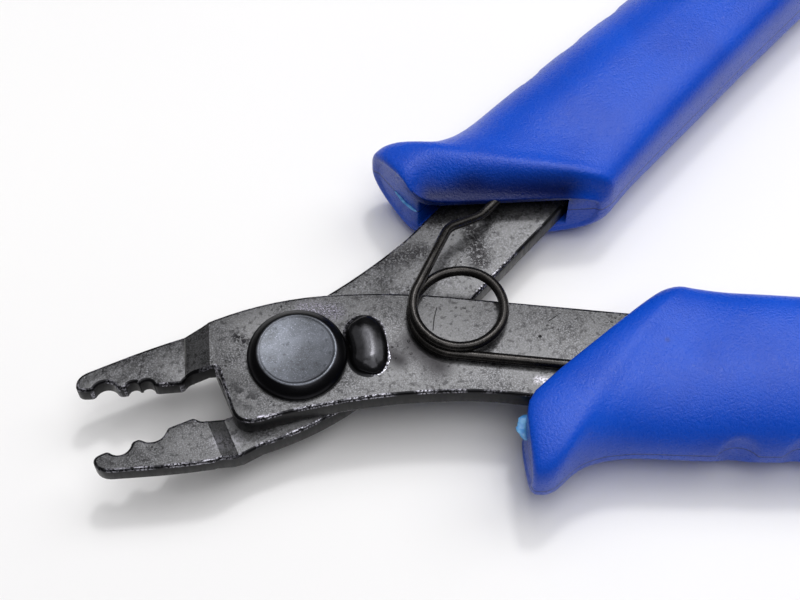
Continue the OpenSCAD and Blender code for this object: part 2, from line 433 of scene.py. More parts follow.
def noise(tree: Tree, where: Socket, size: float, detail: float = 2.0, rough: float = 0.5) -> Socket:
    """Noise with features of about a size in mm."""
    feeds = {"Vector": where, "Scale": per_mm(size), "Detail": detail, "Roughness": rough}
    return add_node(tree, "TexNoise", feeds).outputs["Fac"]


def sums(tree: Tree, operation: str, a: object, b: object) -> Socket:
    """One arithmetic step on two values or sockets."""
    return add_node(tree, "Math", {0: a, 1: b}, operation=operation).outputs[0]


def mixed(tree: Tree, share: object, a: object, b: object) -> Socket:
    """Mixes two colours by a share."""
    return add_node(tree, "Mix", {0: share, 6: a, 7: b}, data_type="RGBA").outputs[2]


def vectors(tree: Tree, operation: str, feeds: dict) -> Node:
    """One step of vector arithmetic."""
    return add_node(tree, "VectorMath", feeds, operation=operation)


def bumped(tree: Tree, height: Socket, depth: float, strength: float,
           onto: Socket | None = None) -> Socket:
    """Bump of a depth in mm from a height between 0 and 1."""
    feeds = {"Height": height, "Strength": strength, "Distance": depth * MM}
    if onto is not None:
        feeds["Normal"] = onto
    return add_node(tree, "Bump", feeds).outputs["Normal"]


@dataclass(frozen=True)
class Finish:
    """A finish, which makes a material out of what feeds its surface shader.

    Args:
        name: The material's name.
    """

    name: str

    def inputs(self, tree: Tree, where: Socket) -> dict:
        """Inputs of the surface shader, from a place in object coordinates."""
        raise NotImplementedError

    def make(self) -> Material:
        """Builds the material."""
        material = bpy.data.materials.new(self.name)
        material.use_nodes = True
        tree = material.node_tree
        shader = next(n for n in tree.nodes if n.type == "BSDF_PRINCIPLED")
        where = add_node(tree, "TexCoord").outputs["Object"]
        feed(tree, shader, self.inputs(tree, where))
        return material


@dataclass(frozen=True)
class Mark:
    """A mark on a flat or a grip: a soft-edged line, patch or spot of another tone; some are scars and stains, some
    painted highlights and painted shade.

    Args:
        start: One end, tool mm.
        end: The other end, tool mm; the same point for a round spot.
        reach: Half its width, mm.
        colour: Its tone as sRGB hex.
        broken: Size of the gaps that break it up, mm; 0 leaves it whole.
        sunk: How far it dents the surface, as a share of the pits' depth.
    """

    start: Point
    end: Point
    reach: float
    colour: str
    broken: float = 0.0
    sunk: float = 0.0

    def mask(self, tree: Tree, where: Socket, axes: ToolAxes) -> Socket:
        """How much of the mark covers a point, from 0 to 1."""
        start = axes.place(self.start)
        run = axes.place(self.end) - start
        offset = vectors(tree, "SUBTRACT", {0: where, 1: tuple(start)}).outputs[0]
        share = 0.0
        if run.length > 0:
            dot = vectors(tree, "DOT_PRODUCT", {0: offset, 1: tuple(run)}).outputs["Value"]
            share = add_node(tree, "Math", {0: dot, 1: run.length_squared},
                             operation="DIVIDE", use_clamp=True).outputs[0]
        foot = vectors(tree, "SCALE", {0: tuple(run), "Scale": share}).outputs[0]
        gap = vectors(tree, "DISTANCE", {0: offset, 1: foot}).outputs["Value"]
        cover = between(tree, gap, self.reach * MM, 0.0)
        if self.broken:
            holes = between(tree, noise(tree, where, self.broken, 3.0, 0.6), 0.44, 0.56)
            cover = sums(tree, "MULTIPLY", cover, holes)
        return cover


@dataclass(frozen=True)
class BlackedSteel(Finish):
    """Stamped carbon steel, tumbled and hot blacked.

    The blacking is dark grey with a fine sparkle where light skims its grain,
    small open pits in clusters, and soft cloudy patches where it is rubbed.
    """

    axes: ToolAxes
    marks: tuple[Mark, ...] = ()
    light: str = "#626263"
    dark: str = "#2d2d2e"
    roughness: float = 0.42
    grain: float = 0.16
    pits: float = 0.5

    def inputs(self, tree: Tree, where: Socket) -> dict:
        """What the surface shader is fed."""
        cloud = noise(tree, where, 5.0, 4.0, 0.6)
        grit = noise(tree, where, self.grain, 2.0, 0.7)
        dust = noise(tree, where, 0.55, 3.0, 0.6)
        cells = add_node(tree, "TexVoronoi", {"Vector": where, "Scale": per_mm(0.62)})
        cluster = between(tree, noise(tree, where, 3.2, 2.0), 0.50, 0.66)
        pit = sums(tree, "MULTIPLY", between(tree, cells.outputs["Distance"], 0.26, 0.12), cluster)
        tone = ramp(tree, cloud, [(0.30, self.dark), (0.66, self.light)])
        # painted sparkle: the grain's high specks are painted light grey as glints
        tone = mixed(tree, between(tree, grit, 0.42, 0.68, 0.0, 0.70), tone, linear("#77777b"))
        tone = mixed(tree, between(tree, dust, 0.53, 0.66, 0.0, 0.60), tone, linear("#201f21"))
        tone = mixed(tree, sums(tree, "MULTIPLY", pit, self.pits), tone, linear("#101012"))
        dents = sums(tree, "MULTIPLY", pit, 1.6)
        for mark in self.marks:
            cover = mark.mask(tree, where, self.axes)
            tone = mixed(tree, cover, tone, linear(mark.colour))
            if mark.sunk:
                dents = sums(tree, "ADD", dents, sums(tree, "MULTIPLY", cover, mark.sunk))
        gloss = between(tree, cloud, 0.3, 0.7, self.roughness - 0.06, self.roughness + 0.06)
        gloss = sums(tree, "ADD", gloss, between(tree, grit, 0.3, 0.7, -0.05, 0.05))
        height = sums(tree, "SUBTRACT", grit, dents)
        return {"Base Color": tone, "Metallic": 0.85, "Roughness": gloss,
                "Normal": bumped(tree, height, 0.03, 0.6)}


@dataclass(frozen=True)
class PaintedShadeEdgeWithRubs(Finish):
    """Rounded edge of the blacked steel: painted near-black as painted shade, with small bright rubs of wear."""

    name: str = "blacked_steel_rubbed_edge"

    def inputs(self, tree: Tree, where: Socket) -> dict:
        """What the surface shader is fed."""
        rub = sums(tree, "MULTIPLY", between(tree, noise(tree, where, 2.4, 3.0), 0.42, 0.60),
                   between(tree, noise(tree, where, 0.22, 2.0), 0.40, 0.62))
        # painted shade: the edge's base is painted near-black; the bright rubs are wear
        tone = mixed(tree, rub, linear("#1a1a1c"), linear("#94939c"))
        return {"Base Color": tone, "Metallic": BLACKED_METAL,
                "Roughness": between(tree, rub, 0.0, 1.0, 0.33, 0.24),
                "Normal": bumped(tree, noise(tree, where, 0.2, 2.0), 0.012, 0.5)}


@dataclass(frozen=True)
class BurnishedBlack(Finish):
    """Drawn-out steel over the stop: blacked and burnished smooth by the punch."""

    name: str = "burnished_black_steel"

    def inputs(self, tree: Tree, where: Socket) -> dict:
        """What the surface shader is fed."""
        cloud = noise(tree, where, 1.2, 4.0, 0.6)
        tone = ramp(tree, cloud, [(0.32, "#232325"), (0.68, "#353538")])
        return {"Base Color": tone, "Metallic": BLACKED_METAL,
                "Roughness": between(tree, cloud, 0.3, 0.7, 0.17, 0.25),
                "Normal": bumped(tree, noise(tree, where, 0.3, 3.0), 0.02, 0.35)}


@dataclass(frozen=True)
class PressedRivet(Finish):
    """Cold-headed rivet, blacked, with a rubbed bluish crown and a flank painted dark as painted shade."""

    name: str = "blacked_rivet_head"

    def inputs(self, tree: Tree, where: Socket) -> dict:
        """What the surface shader is fed."""
        normal = add_node(tree, "NewGeometry").outputs["Normal"]
        up = add_node(tree, "SeparateXYZ", {0: normal})
        flat = between(tree, up.outputs["Z"], 0.90, 0.99)
        grit = noise(tree, where, 0.14, 3.0, 0.7)
        cloud = noise(tree, where, 2.2, 4.0, 0.6)
        face = ramp(tree, cloud, [(0.32, "#3e4044"), (0.68, "#54575e")])
        face = mixed(tree, between(tree, grit, 0.52, 0.76, 0.0, 0.45), face, linear("#8b90a0"))
        stain = between(tree, noise(tree, where, 0.5, 2.0), 0.60, 0.72, 0.0, 0.5)
        face = mixed(tree, stain, face, linear("#2c2d31"))
        # painted shade: faces that turn away from upright are painted near-black
        tone = mixed(tree, flat, linear("#18181b"), face)
        return {"Base Color": tone, "Metallic": BLACKED_METAL,
                "Roughness": between(tree, flat, 0.0, 1.0, 0.28, 0.34),
                "Normal": bumped(tree, grit, 0.014, 0.6)}


@dataclass(frozen=True)
class OiledWire(Finish):
    """Drawn spring wire, oil-blacked: dark, faintly brown, drawn along its length."""

    name: str = "oil_blacked_spring_wire"

    def inputs(self, tree: Tree, where: Socket) -> dict:
        """What the surface shader is fed."""
        cloud = noise(tree, where, 1.6, 4.0, 0.6)
        grit = noise(tree, where, 0.12, 2.0)
        tone = ramp(tree, cloud, [(0.32, "#1e1d1d"), (0.68, "#343231")])
        tone = mixed(tree, between(tree, grit, 0.56, 0.72, 0.0, 0.4), tone, linear("#565452"))
        return {"Base Color": tone, "Metallic": BLACKED_METAL,
                "Roughness": between(tree, grit, 0.3, 0.7, 0.22, 0.34),
                "Normal": bumped(tree, grit, 0.01, 0.4)}


@dataclass(frozen=True)
class MouldedVinyl(Finish):
    """Injection-moulded soft PVC in royal blue.

    Satin, with the mould's fine spark-eroded grain, slow tone changes, and the
    dark parting line of the two mould halves along the middle plane.
    """

    axes: ToolAxes
    marks: tuple[Mark, ...] = ()
    light: str = "#084cc6"
    dark: str = "#0542b6"

    def inputs(self, tree: Tree, where: Socket) -> dict:
        """What the surface shader is fed."""
        height = add_node(tree, "SeparateXYZ", {0: where}).outputs["Z"]
        off = sums(tree, "ABSOLUTE", sums(tree, "SUBTRACT", height, self.axes.pivot.z), 0.0)
        seam = between(tree, off, 0.14 * MM, 0.05 * MM)
        cloud = noise(tree, where, 7.0, 3.0, 0.5)
        grain = noise(tree, where, 0.24, 3.0, 0.65)
        tone = ramp(tree, cloud, [(0.30, self.dark), (0.70, self.light)])
        tone = mixed(tree, between(tree, grain, 0.5, 0.75, 0.0, 0.15), tone, linear("#2f6ae0"))
        tone = mixed(tree, sums(tree, "MULTIPLY", seam, 0.8), tone, linear("#06164f"))
        for mark in self.marks:
            tone = mixed(tree, mark.mask(tree, where, self.axes), tone, linear(mark.colour))
        rise = bumped(tree, grain, 0.075, 1.0)
        rise = bumped(tree, sums(tree, "SUBTRACT", 1.0, seam), 0.05, 0.6, rise)
        return {"Base Color": tone, "Roughness": between(tree, grain, 0.3, 0.7, 0.25, 0.36),
                "IOR": VINYL_IOR, "Specular IOR Level": 0.26, "Normal": rise}


@dataclass(frozen=True)
class ThinFlash(Finish):
    """Moulding flash: the same vinyl squeezed thin, so pale and see-through blue."""

    name: str = "thin_vinyl_flash"

    def inputs(self, tree: Tree, where: Socket) -> dict:
        """What the surface shader is fed."""
        tone = ramp(tree, noise(tree, where, 0.5, 2.0), [(0.35, "#3f8fd8"), (0.65, "#79bdec")])
        return {"Base Color": tone, "Roughness": 0.38, "IOR": VINYL_IOR,
                "Normal": bumped(tree, noise(tree, where, 0.2, 2.0), 0.03, 0.5)}


@dataclass(frozen=True)
class PaperTable(Finish):
    """Matt white card under the tool."""

    name: str = "matt_white_card"

    def inputs(self, tree: Tree, where: Socket) -> dict:
        """What the surface shader is fed."""
        tone = ramp(tree, noise(tree, where, 90.0, 2.0), [(0.3, "#eeedee"), (0.7, "#f2f1f1")])
        return {"Base Color": tone, "Roughness": 0.8, "Specular IOR Level": 0.2}


@dataclass(frozen=True)
class PaintedShadeShearedSide(Finish):
    """Sheared side of the blanks: blacked over shear lines that stand upright, its near-black tone painted shade."""

    name: str = "blacked_sheared_side"

    def inputs(self, tree: Tree, where: Socket) -> dict:
        """What the surface shader is fed."""
        lines = add_node(tree, "Mapping", {"Vector": where, "Scale": (1.0, 1.0, 0.12)})
        streaks = noise(tree, lines.outputs["Vector"], 0.35, 3.0)
        # painted shade: the side is painted near-black; the shear streaks are its own
        tone = ramp(tree, streaks, [(0.35, "#0b0b0c"), (0.65, "#18181a")])
        return {"Base Color": tone, "Metallic": BLACKED_METAL,
                "Roughness": between(tree, streaks, 0.3, 0.7, 0.30, 0.44),
                "Normal": bumped(tree, streaks, 0.02, 0.5)}


def finish_piece(piece: Piece, body: Body, slot: str, nodes: Sequence[str] = ()) -> None:
    """Hands a finished piece to its body, its slot and the nodes it stands for.

    Args:
        piece: The piece, in place.
        body: The body it rides on.
        slot: The record's material slot.
        nodes: CAD nodes that it replaces.
    """
    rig.ride(piece, body.value)
    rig.slot(piece, slot)
    if nodes:
        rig.replaces(piece, *nodes)
    report(piece)


def report(piece: Piece) -> None:
    """Logs a piece's name and number of faces."""
    LOG.info("%s: %d faces", piece.name, len(piece.data.polygons))


# ---- levers ----


@dataclass
class SteelLever:
    """One stamped lever: jaw, hub plate, arm and the tang inside its grip.

    Args:
        axes: The tool's axes.
        side: Which lever.
        node: Its CAD node.
        edge: Radius of its tumbled edges, mm.
        edge_steps: Strips round each edge.
        sharpest: Edges that turn more than this are rounded, degrees.
    """

    axes: ToolAxes
    side: Side
    node: str
    edge: float = 0.30
    edge_steps: int = 4
    sharpest: float = 52.0

    def build(self) -> Piece:
        """Copies the stamped shape and rounds its edges as tumbling does.

        Returns:
            The lever's plate, its rounded edges in the second material.
        """
        piece = copied_node(self.node, f"{self.side.body.value}_plate")
        for _ in SteelSlot:
            piece.data.materials.append(None)
        for face in piece.data.polygons:
            upright = abs(face.normal.z) < 0.5
            face.material_index = SteelSlot.SIDES if upright else SteelSlot.FLATS
        activate(piece)
        bevel = piece.modifiers.new("bevel", "BEVEL")
        bevel.width = self.edge * MM
        bevel.segments = self.edge_steps
        bevel.limit_method = "ANGLE"
        bevel.angle_limit = math.radians(self.sharpest)
        bevel.use_clamp_overlap = False
        bevel.material = SteelSlot.EDGES
        bevel.miter_outer = "MITER_ARC"
        bevel.loop_slide = True
        bpy.ops.object.modifier_apply(modifier=bevel.name)
        smooth(piece, 24)
        return piece

    def dress(self, piece: Piece, finishes: Sequence[Material]) -> None:
        """Gives the flats, the rounded edges and the sheared sides their finishes."""
        for place, finish in enumerate(finishes):
            piece.data.materials[place] = finish
        finish_piece(piece, self.side.body, "lever_steel", [self.node])


@dataclass
class StopRib:
    """Half-sheared rib over the stop pocket, pushed up as a crowned kidney.

    Args:
        axes: The tool's axes.
        radius: Distance from the pivot, mm.
        half_width: Half its width across, mm.
        half_angle: Half the angle it spans at the pivot, degrees.
        middle: Direction of its middle from the pivot, degrees.
        crown: Height over the plate, mm.
        squareness: How square its outline is; 2 is an ellipse.
        waist: How deep its inner side dips at the middle, as a share.
        draw_in: How far its ends draw in as the outline shrinks, as a share.
        sunk: How far its foot lies under the plate's face, mm.
        count: Points round each outline.
        steps: Outlines from the foot to the crown.
    """

    axes: ToolAxes
    radius: float = 6.85
    half_width: float = 1.92
    half_angle: float = 26.0
    middle: float = -11.5
    crown: float = 1.0
    squareness: float = 2.9
    waist: float = 0.10
    draw_in: float = 0.62
    sunk: float = 0.2
    count: int = 48
    steps: int = 20

    def ring(self, share: float, height: float) -> list[Vector]:
        """One outline of the rib, shrunk to a share, at a height over the plate."""
        points = []
        for turn in round_turn(self.count):
            c, s = ellipse_share(turn, self.squareness)
            spread = math.radians(self.half_angle) * s * (1 - (1 - share) * self.draw_in)
            angle = math.radians(self.middle) + spread
            dip = 1 - self.waist * max(0.0, -c) * math.cos(math.pi / 2 * s) ** 2
            r = self.radius + self.half_width * c * share * dip
            points.append(self.axes.place((r * math.cos(angle), r * math.sin(angle), PLATE_TOP + height)))
        return points

    def build(self) -> Piece:
        """Draws the kidney up in shrinking outlines and closes its crown."""
        shrink, rise = 0.85, 0.95  # powers that square the crown's shoulder a little
        turns = [math.radians(90 * k / self.steps) for k in range(self.steps)]
        rings = [self.ring(1.0, -self.sunk)]
        rings += [self.ring(math.cos(t) ** shrink, self.crown * math.sin(t) ** rise) for t in turns]
        piece = drawn_through("stop_rib", rings)
        smooth(piece, 60)
        return piece

    def dress(self, piece: Piece, finish: Material) -> None:
        """Gives the rib the rubbed black finish."""
        piece.data.materials.append(finish)
        finish_piece(piece, Body.FRONT, "lever_steel")


# ---- pivot ----


@dataclass
class Rivet:
    """Pivot rivet with a low turned head on top and a flatter one below.

    Args:
        axes: The tool's axes.
        head_radius: Radius of the head at its foot, mm.
        flat_radius: Radius of its flat crown, mm.
        head_height: Height of the top head, mm.
        lower_cut: How much lower the bottom head is, mm.
        shank_radius: Radius of the shank, mm.
        count: Points round the rivet.
    """

    axes: ToolAxes
    head_radius: float = 4.85
    flat_radius: float = 3.75
    head_height: float = 1.4
    lower_cut: float = 0.3
    shank_radius: float = 3.0
    count: int = 96

    def profile(self) -> list[tuple[float, float]]:
        """Radius and height of each turned line, from the bottom to the top."""
        foot = PLATE_TOP + 0.04
        low = -foot - self.head_height + self.lower_cut
        top = foot + self.head_height
        r, flat = self.head_radius, self.flat_radius
        lower = [(0.4, low), (2.4, low), (flat - 0.1, low), (flat + 0.15, low + 0.05),
                 (flat + 0.6, low + 0.28), (r - 0.12, low + 0.62), (r, low + 0.9), (r, -foot)]
        shank = [(self.shank_radius, -foot), (self.shank_radius, foot)]
        flank = [(r - 0.06, foot), (r, foot + 0.08), (r, foot + 0.30), (r - 0.05, foot + 0.52),
                 (r - 0.2, foot + 0.78), (r - 0.48, foot + 1.05), (flat + 0.33, foot + 1.24),
                 (flat + 0.16, foot + 1.345)]
        crown = [(flat + 0.05, top - 0.015), (flat - 0.03, top), (flat - 0.11, top - 0.004),
                 (flat - 0.2, top - 0.045), (flat - 0.34, top - 0.060), (flat - 0.7, top - 0.095),
                 (flat - 1.2, top - 0.140)]
        dish = [(2.0, top - 0.180), (1.4, top - 0.212), (0.8, top - 0.232), (0.2, top - 0.240)]
        return lower + shank + flank + crown + dish

    def build(self) -> Piece:
        """Turns the rivet from its profile."""
        rings = []
        for radius, height in self.profile():
            rings.append([self.axes.place((radius * math.cos(a), radius * math.sin(a), height))
                          for a in round_turn(self.count)])
        piece = drawn_through("rivet", rings)
        smooth(piece, 38)
        return piece

    def dress(self, piece: Piece, finish: Material) -> None:
        """Gives the rivet its finish."""
        piece.data.materials.append(finish)
        finish_piece(piece, Body.PIVOT, "rivet_steel", ["pivot_rivet"])


# ---- spring ----


@dataclass
class ReturnSpring:
    """Torsion spring of one wire: a cranked upper leg, a coil, a straight lower leg.

    Args:
        axes: The tool's axes.
        wire: Radius of the wire, mm.
        coil_radius: Mean radius of the coil, mm.
        centre: Middle of the coil's top turn, tool mm.
        start: Direction in which the coil starts, degrees.
        end: Direction in which it ends, counted on over the whole turns.
        low: Height of the wire where the coil ends, mm.
        high: Height of the wire where it starts, mm.
        slip: How far the lower turn lies aside of the top one, mm.
        sides: Points round the wire.
        turns: Lengths that the coil is drawn in.
        leg: Length of the lower leg, mm.
    """

    axes: ToolAxes
    wire: float = 0.5
    coil_radius: float = 4.45
    centre: tuple[float, float] = (16.2, -1.2)
    start: float = 133.0
    end: float = 602.5
    low: float = PLATE_TOP + 0.55
    high: float = PLATE_TOP + 1.61
    slip: tuple[float, float] = (0.25, 0.35)
    sides: int = 18
    turns: int = 132
    leg: float = 26.0

    def coil_point(self, degrees: float) -> Vector:
        """A point on the coil: the top turn winds down onto the lower one."""
        shift = eased((degrees - 380) / 130)
        drop = min(1.0, (degrees - self.start) / 350)
        a = math.radians(degrees)
        return Vector((self.centre[0] - self.slip[0] * shift + self.coil_radius * math.cos(a),
                       self.centre[1] - self.slip[1] * shift + self.coil_radius * math.sin(a),
                       self.high - (self.high - self.low) * drop))

    def corner(self, a: Vector, b: Vector, c: Vector, reach: float) -> list[Vector]:
        """A bend at b, rounded over a distance before and after it."""
        before = b + (a - b).normalized() * reach
        after = b + (c - b).normalized() * reach
        return curve(tuple(before), tuple(b), tuple(after), 8)

    def paths(self) -> tuple[list[Vector], list[Vector], list[Vector]]:
        """The wire's middle line as upper leg, coil and lower leg, end to end."""
        top = self.coil_point(self.start)
        bend_in = Vector((15.8, 4.65, 3.95))
        bend = Vector((18.85, 7.78, 3.3))
        bend_out = Vector((22.75, 8.6, 2.05))
        tip = Vector((36.4, 15.75, 1.2))
        upper = [tip + (bend_out - tip) * (i / 14) for i in range(14)]
        upper += self.corner(tip, bend_out, bend, 0.8)
        upper += self.corner(bend_out, bend, bend_in, 0.8)
        upper += [bend + (bend_in - bend) * s for s in (0.4, 0.6, 0.8)]
        upper += curve(tuple(bend + (bend_in - bend) * 0.9), tuple(bend_in), tuple(top), 6)
        sweep = self.end - self.start
        coil = [self.coil_point(self.start + sweep * i / self.turns) for i in range(self.turns + 1)]
        along = Vector((math.cos(-REST_SPLAY), math.sin(-REST_SPLAY), 0))
        lower = [coil[-1] + along * (self.leg * i / 20) for i in range(21)]
        return upper, coil, lower

    def rings(self) -> tuple[list[list[Vector]], int, int]:
        """Rings round the whole wire, and where the coil starts and ends in them."""
        upper, coil, lower = self.paths()
        path = upper[:-1] + coil + lower[1:]
        rings = []
        for i, point in enumerate(path):
            along = (path[min(i + 1, len(path) - 1)] - path[max(i - 1, 0)]).normalized()
            side = along.cross(Vector((0, 0, 1))).normalized()
            rise = side.cross(along)
            ring = []
            for a in round_turn(self.sides):
                aside, over = self.wire * math.cos(a), self.wire * math.sin(a)
                ring.append(self.axes.place(point + side * aside + rise * over))
            rings.append(ring)
        return rings, len(upper) - 1, len(upper) + len(coil) - 2

    def build(self) -> list[Piece]:
        """Draws the wire in three lengths that meet ring to ring."""
        rings, first, last = self.rings()
        pieces = [drawn_through("spring_upper_leg", rings[: first + 1]),
                  drawn_through("spring_coil", rings[first : last + 1]),
                  drawn_through("spring_lower_leg", rings[last:])]
        for piece in pieces:
            smooth(piece, 50)
        return pieces

    def dress(self, pieces: Sequence[Piece], finish: Material) -> None:
        """Finishes the wire; the coil rides the pivot and each leg bends to its lever."""
        upper, coil, lower = pieces
        for piece in pieces:
            piece.data.materials.append(finish)
        finish_piece(coil, Body.PIVOT, "spring_steel", ["return_spring"])
        place = self.axes.place
        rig.blend(upper, Body.PIVOT.value, Body.REAR.value,
                 start=place((15.0, 3.2, 0)), end=place((24.5, 9.5, 0)))
        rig.blend(lower, Body.PIVOT.value, Body.FRONT.value,
                 start=place((14.4, -5.8, 0)), end=place((29.0, -13.3, 0)))
        for piece in (upper, lower):
            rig.slot(piece, "spring_steel")
            report(piece)


# ---- grips ----

# Grip sections from the front face to the heel: inner edge along and out,
# outer edge along and out, how far the knee stands forward, half the thickness
# as a share of the body's, and how square the upper outer shoulder is.
GRIP_ROWS: tuple[Row, ...] = (
    (33.8, -10.5, 22.4, 9.3, -5.3, 0.64, 3.6),
    (34.0, -11.0, 22.3, 10.1, -5.2, 0.75, 3.6),
    (34.7, -11.3, 22.9, 10.5, -4.2, 0.85, 3.4),
    (35.7, -11.4, 24.4, 10.0, -1.7, 0.93, 3.0),
    (37.2, -11.3, 27.0, 7.3, -0.6, 0.89, 2.6),
    (40.0, -11.2, 31.0, 5.9, 0, 0.87, 2.1),
    (44.5, -11.2, 38.0, 5.3, 0, 0.94, 1.9),
    (52.0, -11.3, 48.0, 4.4, 0, 0.99, 1.9),
    (64.0, -11.5, 62.0, 3.0, 0, 1.00, 1.9),
    (78.0, -12.2, 78.0, 0.6, 0, 0.97, 1.9),
    (94.0, -14.6, 96.0, -3.2, 0, 0.93, 2.0),
    (105.0, -17.4, 108.5, -7.6, 0, 0.86, 2.1),
    (110.6, -18.2, 113.4, -10.9, 0, 0.68, 2.2),
    (112.6, -17.0, 114.2, -13.0, 0, 0.40, 2.3),
)
FINE_ROWS = range(5, 9)  # rows after which sections stand close, for the notches
NOTCH_SOFTNESS = 0.05  # how round the brim of a notch is, mm
# Depth behind the face, and growth, of each ring from the socket out to its mouth.
MOUTH_RINGS = ((3.0, 0.0), (0.8, 0.0), (0.22, 0.0), (0.06, 0.06), (0.0, 0.22))
# Share of the last section, and rise past it, of each ring that closes the heel.
HEEL_RINGS = ((1.0, 0.0), (0.9, 0.07), (0.7, 0.13), (0.35, 0.17))


def knee(share: float) -> float:
    """Rises to a rounded peak two thirds of the way across a grip section.

    Args:
        share: How far across the section, from its inner to its outer edge.

    Returns:
        The height of the peak's outline, from 0 at the edges to about 0.9.
    """
    a, b = max(share, 0.0) / 0.66, max(1 - share, 0.0) / 0.34
    return a * b / (a**6 + b**6) ** (1 / 6)


@dataclass
class Grip:
    """Moulded vinyl grip with a flared guard, a tang socket and finger notches.

    Args:
        axes: The tool's axes.
        side: Which lever it is on.
        set_back: How much further from the pivot than the other grip it sits, mm.
        half_height: Half the body's thickness, mm.
        count: Points round each section; a multiple of eight keeps the socket's corners.
        socket: Out of its socket's two sides, then along of the bottom, mm.
        socket_floor: Height of its floor over the middle plane, mm.
        socket_roof: Height of its roof, mm.
        scoop: Share of the height taken away over the socket's mouth.
        notch_count: Number of finger notches.
        notch_first: Along of the first notch, mm.
        notch_radius: Radius of each notch, mm.
        notch_pitch: Distance from one notch to the next, mm.
        notch_depth: Depth of each notch, mm.
    """

    axes: ToolAxes
    side: Side
    set_back: float
    half_height: float = 5.7
    count: int = 80
    socket: tuple[float, float, float] = (-8.35, 3.0, 44.0)
    socket_floor: float = -2.5
    socket_roof: float = 2.5
    scoop: float = 0.0
    notch_count: int = 7
    notch_first: float = 41.6
    notch_radius: float = 2.6
    notch_pitch: float = 6.3
    notch_depth: float = 0.9

    def row(self, index: int, share: float) -> list[float]:
        """Section values at a share of the way from one row to the next."""
        last = len(GRIP_ROWS) - 1
        a, b, c, d = (GRIP_ROWS[max(0, min(last, index + k))] for k in (-1, 0, 1, 2))
        t = share
        return [q + 0.5 * t * ((r - p) + t * (2 * p - 5 * q + 4 * r - s + t * (3 * q - p - 3 * r + s)))
                for p, q, r, s in zip(a, b, c, d)]

    def notched(self, along: float, out: float) -> float:
        """Moves a point of the outer side in where a finger notch scoops it."""
        for k in range(self.notch_count):
            run = self.notch_pitch * k
            gap = along - (self.set_back + self.notch_first + run)
            if abs(gap) < self.notch_radius:
                brim = 4.98 - 0.085 * run - 0.0011 * run * run
                level = brim + self.notch_radius - self.notch_depth
                step = level - math.sqrt(self.notch_radius**2 - gap * gap) - out
                out += 0.5 * (step - math.sqrt(step * step + NOTCH_SOFTNESS**2))
        return out

    def plan(self, q: Sequence[float], share: float) -> tuple[float, float]:
        """Along and out of a section's middle line at a share of its width."""
        along = q[0] + (q[2] - q[0]) * share + q[4] * knee(share)
        return along + self.set_back, q[1] + (q[3] - q[1]) * share

    def section(self, q: Sequence[float]) -> list[Point]:
        """One ring of along, out and up round the grip."""
        ring = []
        for angle in round_turn(self.count):
            outer, top = math.cos(angle) > 0, math.sin(angle) > 0
            power = (q[6] if top else 2.3) if outer else (4.6 if top else 3.2)
            c, s = ellipse_share(angle, power)
            along, out = self.plan(q, (1 + c) / 2)
            if outer:
                out = self.notched(along, out)
            hollow = self.hollow(q, out) if top else 0.0
            ring.append((along, out, self.half_height * q[5] * (1 - hollow) * s))
        return ring

    def hollow(self, q: Sequence[float], out: float) -> float:
        """Share of the height that the scoop over the socket's mouth takes away."""
        swept_back = eased((-q[4] - 1.7) / 3.4)
        near_arm = eased((5.6 - out) / 2.6)
        return self.scoop * swept_back * near_arm

    def face_at(self, out: float) -> float:
        """Along of the front face at a distance out."""
        q = GRIP_ROWS[0]
        return self.plan(q, (out - q[1]) / (q[3] - q[1]))[0]

    def socket_ring(self, depth: float, grow: float) -> list[Point]:
        """Ring round the socket, a depth behind the face and grown all round."""
        low, high, _ = self.socket
        middle, reach = (low + high) / 2, (high - low) / 2 + grow
        level = (self.socket_floor + self.socket_roof) / 2
        half = (self.socket_roof - self.socket_floor) / 2
        ring = []
        for angle in round_turn(self.count):
            c, s = math.cos(angle), math.sin(angle)
            scale = 1 / max(abs(c), abs(s))
            out = middle + reach * c * scale
            ring.append((self.face_at(out) + depth, out, level + (half + grow) * s * scale))
        return ring

    def rings(self) -> list[list[Point]]:
        """All rings: out of the socket, over the front face, along to the heel."""
        bottom = [(self.socket[2], out, up) for _, out, up in self.socket_ring(0, 0)]
        rings = [bottom] + [self.socket_ring(depth, grow) for depth, grow in MOUTH_RINGS]
        mouth, face = rings[-1], self.section(GRIP_ROWS[0])
        for share in (0.25, 0.6, 0.88):
            ring = []
            for near, far in zip(mouth, face):
                out = near[1] + (far[1] - near[1]) * share
                ring.append((self.face_at(out), out, near[2] + (far[2] - near[2]) * share))
            rings.append(ring)
        for index in range(len(GRIP_ROWS) - 1):
            spacing = 0.42 if index in FINE_ROWS else 1.1
            length = GRIP_ROWS[index + 1][2] - GRIP_ROWS[index][2]
            steps = max(6, math.ceil(length / spacing))
            rings += [self.section(self.row(index, i / steps)) for i in range(steps)]
        heel = self.section(GRIP_ROWS[-1])
        centre = [sum(p[i] for p in heel) / len(heel) for i in range(3)]
        for share, rise in HEEL_RINGS:
            rings.append([(centre[0] + (p[0] - centre[0]) * share + rise,
                           centre[1] + (p[1] - centre[1]) * share,
                           p[2] * share) for p in heel])
        return rings

    def build(self) -> Piece:
        """Draws the grip as one skin from the bottom of its socket to its heel."""
        rings = [[self.axes.on_arm(self.side, *p) for p in ring] for ring in self.rings()]
        piece = drawn_through(f"{self.side.body.value}_grip_skin", rings)
        smooth(piece, 55)
        return piece

    def dress(self, piece: Piece, finish: Material) -> None:
        """Gives the grip its vinyl."""
        piece.data.materials.append(finish)
        body = self.side.body
        finish_piece(piece, body, "grip_vinyl", [f"{body.value}_grip"])


